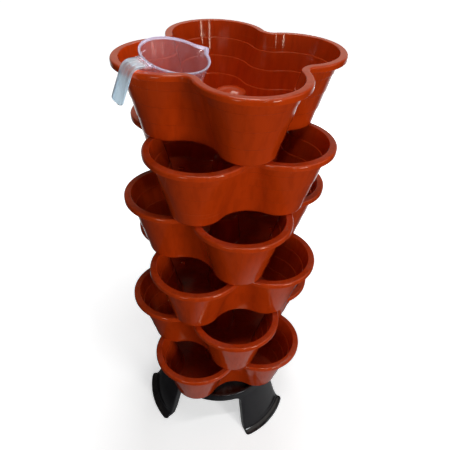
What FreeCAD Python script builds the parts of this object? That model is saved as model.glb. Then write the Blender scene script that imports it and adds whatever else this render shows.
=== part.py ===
import FreeCAD, Part
import math
import os

# Stacking planter tower: a three-legged stand, six four-lobed pots and a measuring jug.
# Millimetres. The origin is on the floor at the tower's axis and +Z is up.

V = FreeCAD.Vector
UP = V(0, 0, 1)
ORIGIN = V(0, 0, 0)

# Driving sizes of the tower
POT_COUNT = 6
POT_HEIGHT = 130.0  # each pot's base lies level with the rim below it
STAND_HEIGHT = 120.0
POT_TURN = 45.0  # degrees from each pot to the next

# The four-lobed outline of a pot's rim, and how far inside it the other lines lie
LOBES = 4
LOBE_CENTRE = 106.5  # from the tower's axis
LOBE_RADIUS = 93.5
CUSP_RADIUS = 17.8  # of the rounded hollow between two lobes
BASE_INSET = 44.4
FLOOR_INSET = 62.0  # where the flat floor joins the rounded wall

# Pot wall
WALL = 2.5
FLOOR = 2.5
STEP_HEIGHTS = [34.0, 67.0, 99.0]
STEP_OUT = 1.5
STEP_RISE = 1.2
BASE_ROUND = 6.0
INNER_ROUND = 4.0

# Pot rim
RIM_WIDTH = 13.0
SKIRT_DEPTH = 10.0
SKIRT_THICK = 2.4
RIM_ROUND = 3.6
RIM_INNER_ROUND = 1.5

# Domed boss in the middle of a pot's floor, hollow below, and the drain holes
BOSS_FOOT_RADIUS = 34.0
BOSS_TOP_RADIUS = 26.5
BOSS_HEIGHT = 68.0
BOSS_CROWN = 6.0
BOSS_SHOULDER = 4.0
DRAIN_RADIUS = 5.0

# Stand: a shallow dish with a skirt, on three flared legs
DISH_RADIUS = 131.0
DISH_LAND = 6.0  # width of the dish's rim, level with its top
DISH_DEPTH = 8.0
DISH_DRAFT = 1.0
DISH_FLOOR_ROUND = 3.0
DISH_RIM_INNER_ROUND = 1.5
DISH_RIM_ROUND = 2.0
STAND_WALL = 3.0
STAND_INNER_ROUND = 2.0
SKIRT_FOOT_RADIUS = 135.0
SKIRT_FOOT_HEIGHT = 103.0  # the open arches between the legs reach up to here
SKIRT_ROUND = 4.0
LEG_COUNT = 3
FIRST_LEG = 184.0  # degrees round from the X axis to the middle of a leg
LEG_ANGLE = 48.6
LEG_FOOT_RADIUS = 167.0
LEG_LIP_RADIUS = 180.0
LEG_LIP_ROUND = 13.0  # where the leg's front curves out into its lip
LEG_LIP_EDGE = 1.2
LEG_SIDE_DEPTH = 15.0
LEG_SIDE_ANGLE = 1.2
ARCH_ROUND = 19.0

# Measuring jug, hooked over the rim of the top pot
JUG_RIM_RADIUS = 57.0
JUG_TOP_RADIUS = 55.0
JUG_FOOT_RADIUS = 43.5
JUG_DEPTH = 105.0
JUG_WALL = 1.6
JUG_LIP = 3.0
JUG_LIP_ROUND = 0.8
JUG_LIP_UNDER_ROUND = 0.4
JUG_FOOT_ROUND = 5.0
SPOUT_DEPTH = 11.0
SPOUT_REACH = 70.0  # from the jug's axis to the spout's tip, under the lip
SPOUT_KEEL_RADIUS = 53.0  # how far out the spout's lowest point is
SPOUT_ROOT_RADIUS = 46.0  # the spout's back edge, inside the wall
SPOUT_HALF_ANGLE = 45.0  # each side of the spout, from the way it points
SPOUT_TIP_ROUND = 3.5
SPOUT_TAPER = 0.05  # its lowest section, as a share of its top one
STRAP_WIDTH = 26.0
STRAP_THICK = 2.4
STRAP_REACH = 88.5
STRAP_BEND = 16.0
STRAP_HANG = 51.0
STRAP_SPLAY = 12.9  # degrees outwards from the jug's axis
STRAP_FLANGE = 5.0
STRAP_FLANGE_THICK = 1.8
STRAP_CORNER = 5.0
JUG_PLACE = V(-100.4, -23.9, 7.9)  # middle of its rim, from the top rim's middle
JUG_AXIS = V(0.146, -0.182, 0.972)
JUG_HANDLE_ANGLE = 207.5

# Tools that cut or trim run past the solid by this much, and a flat edge is flatter than FLAT
OVERRUN = 2.0
FLAT = 0.01


def lowered(point, depth):
    return V(point.x, point.y, point.z - depth)


def turned(shape, degrees, axis=UP):
    copy = shape.copy()
    copy.rotate(ORIGIN, axis, degrees)
    return copy


def moved(shape, offset):
    copy = shape.copy()
    copy.translate(offset)
    return copy


def rounded_face(corners):
    """The face inside corners of (x, z, radius) on the XZ plane, each corner rounded to its radius."""
    points = [V(x, 0, z) for x, z, radius in corners]
    count = len(points)
    turns = []
    for i in range(count):
        here = points[i]
        back = (points[i - 1] - here).normalize()
        ahead = (points[(i + 1) % count] - here).normalize()
        radius = corners[i][2]
        half = back.getAngle(ahead) / 2
        reach = radius / math.tan(half)
        middle = here
        if radius > 0:
            middle = here + (back + ahead).normalize() * (radius / math.sin(half) - radius)
        turns.append((here + back * reach, middle, here + ahead * reach))
    edges = []
    for i in range(count):
        start, middle, end = turns[i]
        edges.append(Part.makeLine(turns[i - 1][2], start))
        if corners[i][2] > 0:
            edges.append(Part.Arc(start, middle, end).toShape())
    return Part.Face(Part.Wire(edges))


def revolved(corners, degrees=360.0):
    return rounded_face(corners).revolve(ORIGIN, UP, degrees)


# The pot's outline: where the hollows between the lobes have their centres
LOBE_STEP = 360.0 / LOBES
BETWEEN = math.radians(LOBE_STEP / 2)
REACH = LOBE_RADIUS + CUSP_RADIUS
ACROSS = LOBE_CENTRE * math.sin(BETWEEN)
CUSP_CENTRE = LOBE_CENTRE * math.cos(BETWEEN) + math.sqrt(REACH**2 - ACROSS**2)
LOBE_HALF = math.degrees(
    math.atan2(CUSP_CENTRE * math.sin(BETWEEN), CUSP_CENTRE * math.cos(BETWEEN) - LOBE_CENTRE)
)
CUSP_HALF = LOBE_HALF - LOBE_STEP / 2


def wall_inset(height):
    """How far the outside of the wall lies inside the rim's outline."""
    steps = sum(1 for step in STEP_HEIGHTS if step < height)
    top = RIM_WIDTH - WALL
    climb = POT_HEIGHT - FLOOR
    draft = (BASE_INSET - top - STEP_OUT * len(STEP_HEIGHTS)) / climb
    return BASE_INSET - draft * height - STEP_OUT * steps


def pot_section():
    """Corners of the wall's section as (inset, height, radius), up the outside and down the inside."""
    under_rim = POT_HEIGHT - FLOOR
    outside = [(FLOOR_INSET, 0, 0), (BASE_INSET, 0, BASE_ROUND)]
    inside = [(RIM_WIDTH, POT_HEIGHT, RIM_INNER_ROUND)]
    for height in STEP_HEIGHTS:
        inset = wall_inset(height)
        outside.append((inset, height, 0))
        outside.append((inset - STEP_OUT, height + STEP_RISE, 0))
    outside.append((wall_inset(under_rim), under_rim, 0))
    outside.append((SKIRT_THICK, under_rim, 0))
    outside.append((SKIRT_THICK, POT_HEIGHT - SKIRT_DEPTH, 0))
    outside.append((0, POT_HEIGHT - SKIRT_DEPTH, 0))
    outside.append((0, POT_HEIGHT, RIM_ROUND))
    for height in reversed(STEP_HEIGHTS):
        inset = wall_inset(height) + WALL
        inside.append((inset - STEP_OUT, height + STEP_RISE, 0))
        inside.append((inset, height, 0))
    inside.append((wall_inset(FLOOR) + WALL, FLOOR, INNER_ROUND))
    inside.append((FLOOR_INSET, FLOOR, 0))
    return outside + inside


def four_lobes(section):
    """A section of (inset, height, radius) carried round the whole outline."""
    lobe = revolved([(LOBE_RADIUS - inset, z, r) for inset, z, r in section], 2 * LOBE_HALF)
    cusp = revolved([(CUSP_RADIUS + inset, z, r) for inset, z, r in section], 2 * CUSP_HALF)
    lobe = moved(turned(lobe, -LOBE_HALF), V(LOBE_CENTRE, 0, 0))
    cusp = moved(turned(cusp, 180 - CUSP_HALF), V(CUSP_CENTRE, 0, 0))
    pieces = []
    for i in range(LOBES):
        pieces.append(turned(lobe, i * LOBE_STEP))
        pieces.append(turned(cusp, (i + 0.5) * LOBE_STEP))
    return pieces


def floor_plate():
    """The flat middle of a pot's floor, inside the rounded wall."""
    lobe_radius = LOBE_RADIUS - FLOOR_INSET
    cusp_radius = CUSP_RADIUS + FLOOR_INSET
    edges = []
    for i in range(LOBES):
        facing = i * LOBE_STEP
        for centre, radius, aim, ends in (
            (LOBE_CENTRE, lobe_radius, facing, (-LOBE_HALF, 0, LOBE_HALF)),
            (CUSP_CENTRE, cusp_radius, facing + LOBE_STEP / 2, (180 + CUSP_HALF, 180, 180 - CUSP_HALF)),
        ):
            middle = V(centre * math.cos(math.radians(aim)), centre * math.sin(math.radians(aim)), 0)
            points = []
            for end in ends:
                angle = math.radians(aim + end)
                points.append(middle + V(radius * math.cos(angle), radius * math.sin(angle), 0))
            edges.append(Part.Arc(*points).toShape())
    return Part.Face(Part.Wire(edges)).extrude(UP * FLOOR)


def domed_cone(foot_radius, top_radius, height, crown, shoulder):
    """A tapered boss whose top is a shallow dome with a rounded shoulder."""
    ball_radius = (top_radius**2 + crown**2) / (2 * crown)
    cone = Part.makeCone(foot_radius, top_radius, height)
    ball = Part.makeSphere(ball_radius, V(0, 0, height - ball_radius))
    dome = cone.common(ball)
    rims = [edge for edge in dome.Edges if edge.BoundBox.ZLength < FLAT and edge.BoundBox.ZMin > FLAT]
    return dome.makeFillet(shoulder, rims)


def pot():
    solid = floor_plate()
    for piece in four_lobes(pot_section()):
        solid = solid.fuse(piece)
    boss = domed_cone(BOSS_FOOT_RADIUS, BOSS_TOP_RADIUS, BOSS_HEIGHT, BOSS_CROWN, BOSS_SHOULDER)
    hollow = domed_cone(
        BOSS_FOOT_RADIUS - WALL,
        BOSS_TOP_RADIUS - WALL,
        BOSS_HEIGHT - WALL,
        BOSS_CROWN,
        BOSS_SHOULDER / 2,
    )
    solid = solid.fuse(boss).cut(hollow)
    for i in range(LOBES):
        drain = Part.makeCylinder(DRAIN_RADIUS, 2 * FLOOR, V(LOBE_CENTRE, 0, -FLOOR / 2))
        solid = solid.cut(turned(drain, i * LOBE_STEP))
    return solid.removeSplitter()


def stand_bell():
    """The dish and the flared skirt, before the arches are cut: one wall all the way round."""
    top = STAND_HEIGHT
    foot = STAND_WALL
    land = DISH_RADIUS - DISH_LAND
    dish = top - DISH_DEPTH
    slope = (LEG_FOOT_RADIUS - SKIRT_FOOT_RADIUS) / (SKIRT_FOOT_HEIGHT - foot)
    outside = [
        (0, dish, 0),
        (land - DISH_DRAFT, dish, DISH_FLOOR_ROUND),
        (land, top, DISH_RIM_INNER_ROUND),
        (DISH_RADIUS, top, DISH_RIM_ROUND),
        (SKIRT_FOOT_RADIUS, SKIRT_FOOT_HEIGHT, SKIRT_ROUND),
        (LEG_FOOT_RADIUS, foot, LEG_LIP_ROUND),
        (LEG_LIP_RADIUS, foot, LEG_LIP_EDGE),
        (LEG_LIP_RADIUS, 0, LEG_LIP_EDGE),
    ]
    inside = [
        (LEG_FOOT_RADIUS + slope * foot - STAND_WALL, 0, STAND_INNER_ROUND),
        (SKIRT_FOOT_RADIUS - STAND_WALL, SKIRT_FOOT_HEIGHT, STAND_INNER_ROUND),
        (DISH_RADIUS - STAND_WALL, dish - STAND_WALL, STAND_INNER_ROUND),
        (0, dish - STAND_WALL, 0),
    ]
    return revolved(outside + inside)


def arch_tool():
    """What is cut away between the first leg and the next one, with rounded upper corners."""
    low = -OVERRUN
    high = SKIRT_FOOT_HEIGHT
    inner = DISH_RADIUS / 2
    outer = LEG_LIP_RADIUS + OVERRUN
    section = [(inner, low, 0), (outer, low, 0), (outer, high, 0), (inner, high, 0)]
    arch = revolved(section, 360.0 / LEG_COUNT - LEG_ANGLE)
    corners = []
    for edge in arch.Edges:
        box = edge.BoundBox
        if box.ZLength < FLAT and box.ZMin > 0 and isinstance(edge.Curve, Part.Line):
            corners.append(edge)
    return turned(arch.makeFillet(ARCH_ROUND, corners), FIRST_LEG + LEG_ANGLE / 2)


def leg_side():
    """The return along a leg's side edge, which starts inside the leg's wall."""
    inside_wall = STAND_WALL / 2
    dish = STAND_HEIGHT - DISH_DEPTH - inside_wall
    section = [
        (SKIRT_FOOT_RADIUS - STAND_WALL - LEG_SIDE_DEPTH, dish, 0),
        (LEG_FOOT_RADIUS - STAND_WALL - LEG_SIDE_DEPTH, 0, 0),
        (LEG_FOOT_RADIUS - inside_wall, 0, 0),
        (SKIRT_FOOT_RADIUS - inside_wall, SKIRT_FOOT_HEIGHT, 0),
        (DISH_RADIUS - inside_wall, dish, 0),
    ]
    return revolved(section, LEG_SIDE_ANGLE)


def stand():
    solid = stand_bell()
    arch = arch_tool()
    side = leg_side()
    near = FIRST_LEG - LEG_ANGLE / 2
    far = FIRST_LEG + LEG_ANGLE / 2 - LEG_SIDE_ANGLE
    for i in range(LEG_COUNT):
        spin = i * 360.0 / LEG_COUNT
        solid = solid.cut(turned(arch, spin))
        solid = solid.fuse(turned(side, spin + near))
        solid = solid.fuse(turned(side, spin + far))
    return solid.removeSplitter()


def strap():
    """The jug's handle: a channel-section strap that reaches out over a rim and hangs down."""
    splay = math.radians(STRAP_SPLAY)
    down = V(math.sin(splay), 0, -math.cos(splay))
    inward = V(-math.cos(splay), 0, -math.sin(splay))
    bend_reach = math.tan((math.pi / 2 - splay) / 2)
    start = JUG_TOP_RADIUS - JUG_WALL
    elbow = V(STRAP_REACH, 0, 0)
    foot = elbow + down * (STRAP_BEND * bend_reach + STRAP_HANG)

    def band(depth, width):
        lower_elbow = elbow + V(-depth * bend_reach, 0, -depth)
        lower_foot = foot + inward * depth
        corners = [
            (start, 0, 0),
            (elbow.x, elbow.z, STRAP_BEND),
            (foot.x, foot.z, 0),
            (lower_foot.x, lower_foot.z, 0),
            (lower_elbow.x, lower_elbow.z, STRAP_BEND - depth),
            (start, -depth, 0),
        ]
        return rounded_face(corners).extrude(V(0, width, 0))

    solid = band(STRAP_THICK, STRAP_WIDTH)
    flange = band(STRAP_FLANGE, STRAP_FLANGE_THICK)
    solid = solid.fuse(flange).fuse(moved(flange, V(0, STRAP_WIDTH - STRAP_FLANGE_THICK, 0)))
    solid = moved(solid, V(0, -STRAP_WIDTH / 2, 0))
    trim = moved(turned(strap_end_trim(), -STRAP_SPLAY, V(0, 1, 0)), foot)
    return solid.cut(trim).removeSplitter()


def strap_end_trim():
    """The two corners that are rounded off the strap's hanging end, about its outer edge."""
    deep = 2 * STRAP_FLANGE
    block = Part.makeBox(2 * deep, STRAP_WIDTH, 2 * STRAP_CORNER)
    block = moved(block, V(-deep, -STRAP_WIDTH / 2, 0))
    corners = []
    for edge in block.Edges:
        box = edge.BoundBox
        if box.YLength < FLAT and box.ZLength < FLAT and box.ZMin < FLAT:
            corners.append(edge)
    return block.cut(block.makeFillet(STRAP_CORNER, corners))


def beak_outline(reach, tip_round, scale, height):
    """A pointed outline at one height, drawn in towards the spout's lowest point by a scale."""
    back = SPOUT_ROOT_RADIUS
    half = (reach - back) * math.tan(math.radians(SPOUT_HALF_ANGLE))
    corners = []
    for x, y, radius in ((reach, 0, tip_round), (back, half, tip_round), (back, -half, tip_round)):
        from_keel = (x - SPOUT_KEEL_RADIUS) * scale
        corners.append((SPOUT_KEEL_RADIUS + from_keel, y * scale, radius * scale))
    outline = turned(rounded_face(corners), -90, V(1, 0, 0))
    return moved(outline, V(0, 0, height)).OuterWire


def beak(inset, top):
    """A beak that grows from a small section on the wall up to its full outline at the top."""
    reach = SPOUT_REACH - inset / math.cos(math.radians(SPOUT_HALF_ANGLE))
    tip_round = SPOUT_TIP_ROUND - inset / 2
    depth = SPOUT_DEPTH - inset
    wires = []
    for height in (-depth * (1 - SPOUT_TAPER), top):
        wires.append(beak_outline(reach, tip_round, 1 + height / depth, height))
    return Part.makeLoft(wires, True, True)


def jug_spout():
    """The solid beak under the jug's rim, with its lip, and the hollow that it pours through."""
    lip_width = JUG_RIM_RADIUS - JUG_TOP_RADIUS
    lip_reach = SPOUT_REACH + lip_width / math.cos(math.radians(SPOUT_HALF_ANGLE))
    lip_base = Part.Face(beak_outline(lip_reach, SPOUT_TIP_ROUND + lip_width, 1.0, -JUG_LIP))
    return beak(0, 0).fuse(lip_base.extrude(UP * JUG_LIP)), beak(JUG_WALL, OVERRUN / 2)


def measuring_jug():
    foot = -JUG_DEPTH
    above = OVERRUN / 2
    outer = revolved(
        [
            (0, foot, 0),
            (JUG_FOOT_RADIUS, foot, JUG_FOOT_ROUND),
            (JUG_TOP_RADIUS, -JUG_LIP, JUG_LIP_UNDER_ROUND),
            (JUG_RIM_RADIUS, -JUG_LIP, JUG_LIP_ROUND),
            (JUG_RIM_RADIUS, 0, JUG_LIP_ROUND),
            (0, 0, 0),
        ]
    )
    cavity = revolved(
        [
            (0, foot + JUG_WALL, 0),
            (JUG_FOOT_RADIUS - JUG_WALL, foot + JUG_WALL, JUG_FOOT_ROUND - JUG_WALL),
            (JUG_TOP_RADIUS - JUG_WALL, above, 0),
            (0, above, 0),
        ]
    )
    spout, spout_hollow = jug_spout()
    handle = turned(strap(), 180)
    solid = outer.fuse(spout).fuse(handle)
    solid = solid.cut(cavity).cut(spout_hollow).removeSplitter()
    tilt = FreeCAD.Rotation(UP, V(JUG_AXIS).normalize())
    facing = FreeCAD.Rotation(UP, JUG_HANDLE_ANGLE - 180)
    placed = solid.copy()
    placed.Placement = FreeCAD.Placement(V(JUG_PLACE), tilt.multiply(facing))
    return placed


def save(name, shape):
    solids = shape.Solids
    if len(solids) != 1 or not shape.isValid():
        print("check", name, "solids", len(solids), "valid", shape.isValid())
    solids[0].exportStep("parts/" + name + ".step")
    box = solids[0].BoundBox
    print(name, "volume", round(solids[0].Volume / 1000, 1), "cm3", "top", round(box.ZMax, 2))


os.makedirs("parts", exist_ok=True)
save("stand", stand())
one_pot = pot()
for level in range(1, POT_COUNT + 1):
    base_height = STAND_HEIGHT + (level - 1) * POT_HEIGHT
    # the top pot has a lobe on each of the X and Y axes
    turn = POT_TURN * (POT_COUNT - level)
    save("pot_" + str(level), moved(turned(one_pot, turn), V(0, 0, base_height)))
top_rim = STAND_HEIGHT + POT_COUNT * POT_HEIGHT
save("measuring_jug", moved(measuring_jug(), V(0, 0, top_rim)))
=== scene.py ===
import math

import bmesh
import bpy
from mathutils import Matrix, Vector, noise


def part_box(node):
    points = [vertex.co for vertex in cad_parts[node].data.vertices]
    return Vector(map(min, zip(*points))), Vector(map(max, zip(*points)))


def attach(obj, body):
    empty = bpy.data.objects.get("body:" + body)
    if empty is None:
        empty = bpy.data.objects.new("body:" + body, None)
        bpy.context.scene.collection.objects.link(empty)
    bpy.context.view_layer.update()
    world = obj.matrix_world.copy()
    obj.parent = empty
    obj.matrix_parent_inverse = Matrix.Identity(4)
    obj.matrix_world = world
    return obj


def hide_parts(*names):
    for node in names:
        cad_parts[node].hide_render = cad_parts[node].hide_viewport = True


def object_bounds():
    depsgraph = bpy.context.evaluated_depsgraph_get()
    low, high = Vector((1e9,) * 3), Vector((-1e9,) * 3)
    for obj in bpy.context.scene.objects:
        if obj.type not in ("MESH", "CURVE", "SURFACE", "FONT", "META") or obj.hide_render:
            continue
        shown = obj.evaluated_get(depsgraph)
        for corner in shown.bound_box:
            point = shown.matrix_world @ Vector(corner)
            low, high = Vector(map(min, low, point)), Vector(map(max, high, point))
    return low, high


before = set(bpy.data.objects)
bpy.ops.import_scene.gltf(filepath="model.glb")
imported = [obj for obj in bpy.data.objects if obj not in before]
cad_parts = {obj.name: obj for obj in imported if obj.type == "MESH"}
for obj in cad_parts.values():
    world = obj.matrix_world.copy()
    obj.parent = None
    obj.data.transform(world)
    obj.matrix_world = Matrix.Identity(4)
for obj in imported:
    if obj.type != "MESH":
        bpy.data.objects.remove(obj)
cad_low, cad_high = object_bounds()

# Looks of the stacking planter tower: six four-lobed pots, a black stand and a clear measuring jug.
# Metres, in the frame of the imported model: floor at zero, the tower's axis upright through the origin.

X_AXIS = (1, 0, 0)
Y_AXIS = (0, 1, 0)
Z_AXIS = (0, 0, 1)
ORIGIN = (0, 0, 0)
SAME_PLACE = 1e-6
ROUND_STEPS = 4
FLAT_WEIGHT = 80

# Outline of a pot's rim: four lobes with a rounded hollow between each two
POT_COUNT = 6
LOBES = 4
LOBE_STEP = 360 / LOBES
LOBE_RADIUS = 0.0935
LOBE_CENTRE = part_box("pot_6")[1].x - LOBE_RADIUS
CUSP_RADIUS = 0.0178
HALF_STEP = math.radians(LOBE_STEP / 2)
CUSP_CENTRE = LOBE_CENTRE * math.cos(HALF_STEP) + math.sqrt(
    (LOBE_RADIUS + CUSP_RADIUS) ** 2 - (LOBE_CENTRE * math.sin(HALF_STEP)) ** 2
)
LOBE_HALF = math.degrees(
    math.atan2(CUSP_CENTRE * math.sin(HALF_STEP), CUSP_CENTRE * math.cos(HALF_STEP) - LOBE_CENTRE)
)
CUSP_HALF = LOBE_HALF - LOBE_STEP / 2
LOBE_SEGMENTS = 60
CUSP_SEGMENTS = 16

# Section of a pot's wall
POT_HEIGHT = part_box("pot_1")[1].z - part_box("pot_1")[0].z
WALL = 0.0025
BASE_INSET = 0.0444
FLOOR_INSET = 0.062
BASE_ROUND = 0.006
INNER_ROUND = 0.004
STEP_HEIGHTS = (0.034, 0.067, 0.099)
STEP_OUT = 0.0015
STEP_RISE = 0.0012
STEP_ROUND = 0.0005
RIM_WIDTH = 0.013
RIM_ROUND = 0.0036
RIM_INNER_ROUND = 0.0015
SKIRT_DEPTH = 0.010
SKIRT_THICK = 0.0024
SKIRT_ROUND = 0.0008
LONGEST_SPAN = 0.009

# Boss and drain holes in a pot's floor
BOSS_FOOT_RADIUS = 0.034
BOSS_TOP_RADIUS = 0.0265
BOSS_HEIGHT = 0.068
BOSS_CROWN = 0.006
BOSS_SHOULDER = 0.004
BOSS_SEGMENTS = 72
CROWN_RINGS = 8
DRAIN_RADIUS = 0.005
DRAIN_ROUND = 0.0006
DRAIN_SEGMENTS = 24

# How far a moulded wall wanders from its drawing
WALL_WANDER = 0.0007
WANDER_GRAIN = 14
WANDER_RISE = 9
WANDER_STEP = 7
RIM_SAG = 0.0005
SAG_GRAIN = 9
SAG_STEP = 5

# Stand: the section of its one wall from the dish to the feet, and the openings between its legs
DISH_DEPTH = 0.008
DISH_INNER_RADIUS = 0.125
DISH_RADIUS = 0.131
DISH_DRAFT = 0.001
DISH_FLOOR_ROUND = 0.003
DISH_RIM_INNER_ROUND = 0.0015
DISH_RIM_ROUND = 0.002
SKIRT_FOOT_RADIUS = 0.135
SKIRT_FOOT_HEIGHT = 0.103
STAND_SKIRT_ROUND = 0.004
STAND_THICK = 0.0026
LEG_COUNT = 3
FIRST_LEG = 184
LEG_ANGLE = 48.6
LEG_FOOT_RADIUS = 0.167
LEG_LIP_RADIUS = 0.180
LEG_LIP_ROUND = 0.013
LEG_CORNER = 0.008
LEG_SIDE_DEPTH = 0.015
LEG_SIDE_ROUND = 0.0028
LEG_SIDE_SEGMENTS = 3
LEAST_RISE = 0.1
SKIRT_TURN_SHARE = 0.2
LEG_EASE_WIDTH = 0.016
LEG_EASE_DEPTH = 0.0032
LEG_EASE_FADE = 0.02
ARCH_ROUND = 0.019
PATTERN_RADIUS = 0.155
PATTERN_STEP = 1.5
STAND_SPAN = 0.004
STAND_EDGE = 0.0006
STAND_EDGE_ANGLE = 50

# Measuring jug, in its own frame: rim at zero height, handle towards -X, spout towards +X
JUG_RIM_RADIUS = 0.057
JUG_TOP_RADIUS = 0.055
JUG_FOOT_RADIUS = 0.0435
JUG_DEPTH = 0.105
JUG_WALL = 0.0016
JUG_LIP = 0.003
JUG_LIP_ROUND = 0.0008
JUG_FOOT_ROUND = 0.005
JUG_FOOT_RECESS = 0.0012
JUG_FOOT_RING = 0.007
JUG_SEGMENTS = 240
JUG_SPAN = 0.003
SPOUT_DEPTH = 0.011
SPOUT_REACH = 0.070
SPOUT_KEEL_RADIUS = 0.053
SPOUT_HALF_ANGLE = 45
SPOUT_TIP_ANGLE = 1.5
SPOUT_BLEND = 0.001
STRAP_WIDTH = 0.026
STRAP_THICK = 0.0024
STRAP_FLANGE = 0.005
STRAP_FLANGE_THICK = 0.0018
STRAP_GROOVE = 0.0006
STRAP_EDGE_BAND = 0.0035
STRAP_RIB_PLACE = 0.0042
STRAP_RIB_WIDTH = 0.0016
STRAP_REACH = 0.0885
STRAP_BEND = 0.016
STRAP_HANG = 0.051
STRAP_SPLAY = 12.9
STRAP_CORNER = 0.005
STRAP_ROOT_FLARE = 0.3
STRAP_ROOT_LENGTH = 0.014
STRAP_SPAN = 0.0017
STRAP_TONE = (0.52, 0.66, 0.76)
STRAP_HAZE = 0.35
JUG_PLACE = Vector((-0.1004, -0.0239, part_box("pot_6")[1].z + 0.0079))
JUG_AXIS = Vector((0.146, -0.182, 0.972))
JUG_HANDLE_ANGLE = 207.5

# Raised scale on the jug's wall: a line for each hundred millilitres and a number by each second one
SCALE_ANGLE = 112
SCALE_STEP = 0.0001
SCALE_LINES = 7
SCALE_LINE = (0.0010, 0.009, 0.0007)
SCALE_SHORT = 0.55
DIGIT_HEIGHT = 0.0075
DIGIT_PLACE = 1.3

# Camera, at the photograph's place
CAMERA_PLACE = Vector((-0.2338, -0.7746, 1.1594))
CAMERA_HEADING = 16.856
CAMERA_PITCH = 37.473
CAMERA_ROLL = 2.684
CAMERA_LENS = 38.88
CAMERA_SENSOR = 36
CAMERA_CLIP = (0.01, 100)

# Looks of the jug's plastics, as (roughness, clearness, tone)
CLEAR_LOOK = (0.06, 0.94, (0.955, 0.885, 0.975))
# The lip's look is milkier and paler than the cup's: a painted highlight along the lip and beak edge
LIP_HIGHLIGHT_LOOK = (0.2, 0.5, (0.78, 0.72, 0.90))
WHITENED_LOOK = (0.45, 0.15, (0.92, 0.90, 0.98))

# Grain of the plastics, as (scale, detail, roughness) of a noise and the span taken from it
PEEL_GRAIN = (420, 2, 0.6)
RIPPLE_GRAIN = (22, 1, 0.4)
FLOW_GRAIN = (95, 3, 0.55)
FLOW_STRETCH = (1, 1, 0.09)
FLOW_SPAN = (0.3, 0.6)
SCRATCH_RUNS = (((260, 9, 9), 0.6), ((9, 9, 240), -0.9))
SCRATCH_GRAIN = (1, 2, 0.5)
SCRATCH_SPAN = (0.66, 0.72)
SCRATCH_PATCHES = (13, 2, 0.5)
SCRATCH_PATCH_SPAN = (0.42, 0.62)
RUB_RADIUS = 0.0015
RUB_SPAN = (0.995, 0.90)
RUB_PATCHES = (48, 4, 0.65)
RUB_PATCH_SPAN = (0.4, 0.66)
DUST_PATCHES = (31, 5, 0.7)
DUST_PATCH_SPAN = (0.38, 0.68)
DUST_SPECKS = (900, 2, 0.6)
DUST_SPECK_SPAN = (0.56, 0.70)
DUST_SPECK_SHARE = 0.45
DUST_SLOPE = (0.55, 0.98)
DUST_TONE = (0.45, 0.38, 0.32)
HAZE_GRAIN = (9, 3, 0.6)
HAZE_SPAN = (0.3, 0.7)
HAZE_LESS = 0.04
HAZE_MORE = 0.05
SCRATCH_SHOW = 0.4
RUBBED_ROUGHER = 0.25
SCRATCHED_ROUGHER = 0.2
DUSTY_ROUGHER = 0.8

# Stage: how the floor and the room show to the camera and in the gloss of the plastics
FLOOR_HALF = 14
FLOOR_GRAIN = (3, 3, 0.5)
FLOOR_MOTTLE = (0.96, 1.0)
FLOOR_TONE = (0.97, 0.97, 0.97)
FLOOR_GLOSS_TONE = (0.08, 0.08, 0.08)
FLOOR_FADE = (0.2, 1.0)
FLOOR_GLOW = 0.5
BASE_SHEET = (0.1, -0.1, 0)
NEAR_FADE = (0.2, 0.34)
NEAR_SHARE = 0.35
PAST_FADE = (0.5, 0.9)
ROOM_LIGHT = 0.05
ROOM_TONE = (0.97, 0.985, 1)
GLOSS_TONE = (1.0, 0.9, 0.78)
SKY_FADE = (0.34, 0.55)
SKY_GLOSS = (0.56, 0.12)
WINDOW_WAY = (0.61, -0.29, 0.73)
WINDOW_FADE = (0.8, 0.92)

# Lamps aimed at the tower's middle, as name: (place, size, power, colour)
WHITE = (1, 1, 1)
LAMPS = {
    "key": ((0.85, -1.75, 0.8), (0.5, 0.6), 12.5, (1.0, 0.99, 0.97)),
    "overhead": ((0.1, 0.45, 2.3), (0.5, 0.5), 8, WHITE),
    "rear_overhead": ((0.6, 1.0, 2.3), (0.5, 0.5), 4, WHITE),
    "fill": ((-1.3, -1.6, 0.7), (0.5, 0.6), 6, (0.95, 0.98, 1.0)),
    "back": ((0.9, 1.7, 0.35), (0.9, 0.5), 6, WHITE),
}

# Strips aimed at the top pot, in whose wall they show as streaks
STRIP_AZIMUTHS = (-60, -84)
STRIP_DISTANCE = 2.0
STRIP_HEIGHT = 1.22
STRIP_SIZE = (0.07, 0.6)
STRIP_POWER = 2.8
CEILING_STRIP_PLACE = (0, -0.75, 2.4)
CEILING_STRIP_SIZE = (1.0, 0.08)
CEILING_STRIP_POWER = 8


# Making and joining meshes


def rounded_line(bm, corners, closed=False):
    """Edges through corners of (x, z, radius) on the XZ plane, each rounded to its radius."""
    points = [Vector((x, 0, z)) for x, z, radius in corners]
    verts = [bm.verts.new(point) for point in points]
    for pair in zip(verts, verts[1:]):
        bm.edges.new(pair)
    if closed:
        bm.edges.new((verts[-1], verts[0]))
    for i, (x, z, radius) in enumerate(corners):
        if radius > 0:
            ahead = points[(i + 1) % len(points)]
            half = (points[i - 1] - points[i]).angle(ahead - points[i]) / 2
            bmesh.ops.bevel(
                bm,
                geom=[verts[i]],
                offset=radius / math.tan(half),
                offset_type="OFFSET",
                segments=ROUND_STEPS,
                profile=0.5,
                affect="VERTICES",
                material=-1,
            )


def split_long_edges(bm, longest):
    for edge in bm.edges[:]:
        cuts = math.ceil(edge.calc_length() / longest) - 1
        if cuts > 0:
            bmesh.ops.subdivide_edges(bm, edges=[edge], cuts=cuts)


def swept(bm, geom, steps, centre=ORIGIN, axis=Z_AXIS, degrees=0.0, shift=ORIGIN, full=False):
    """Sweeps geometry about an axis, or along a shift, and returns the last of it."""
    made = bmesh.ops.spin(
        bm,
        geom=geom,
        cent=centre,
        axis=axis,
        dvec=Vector(shift) / steps,
        angle=math.radians(degrees),
        space=Matrix.Identity(4),
        steps=steps,
        use_merge=full,
        use_normal_flip=False,
        use_duplicate=False,
    )
    return made["geom_last"]


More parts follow.
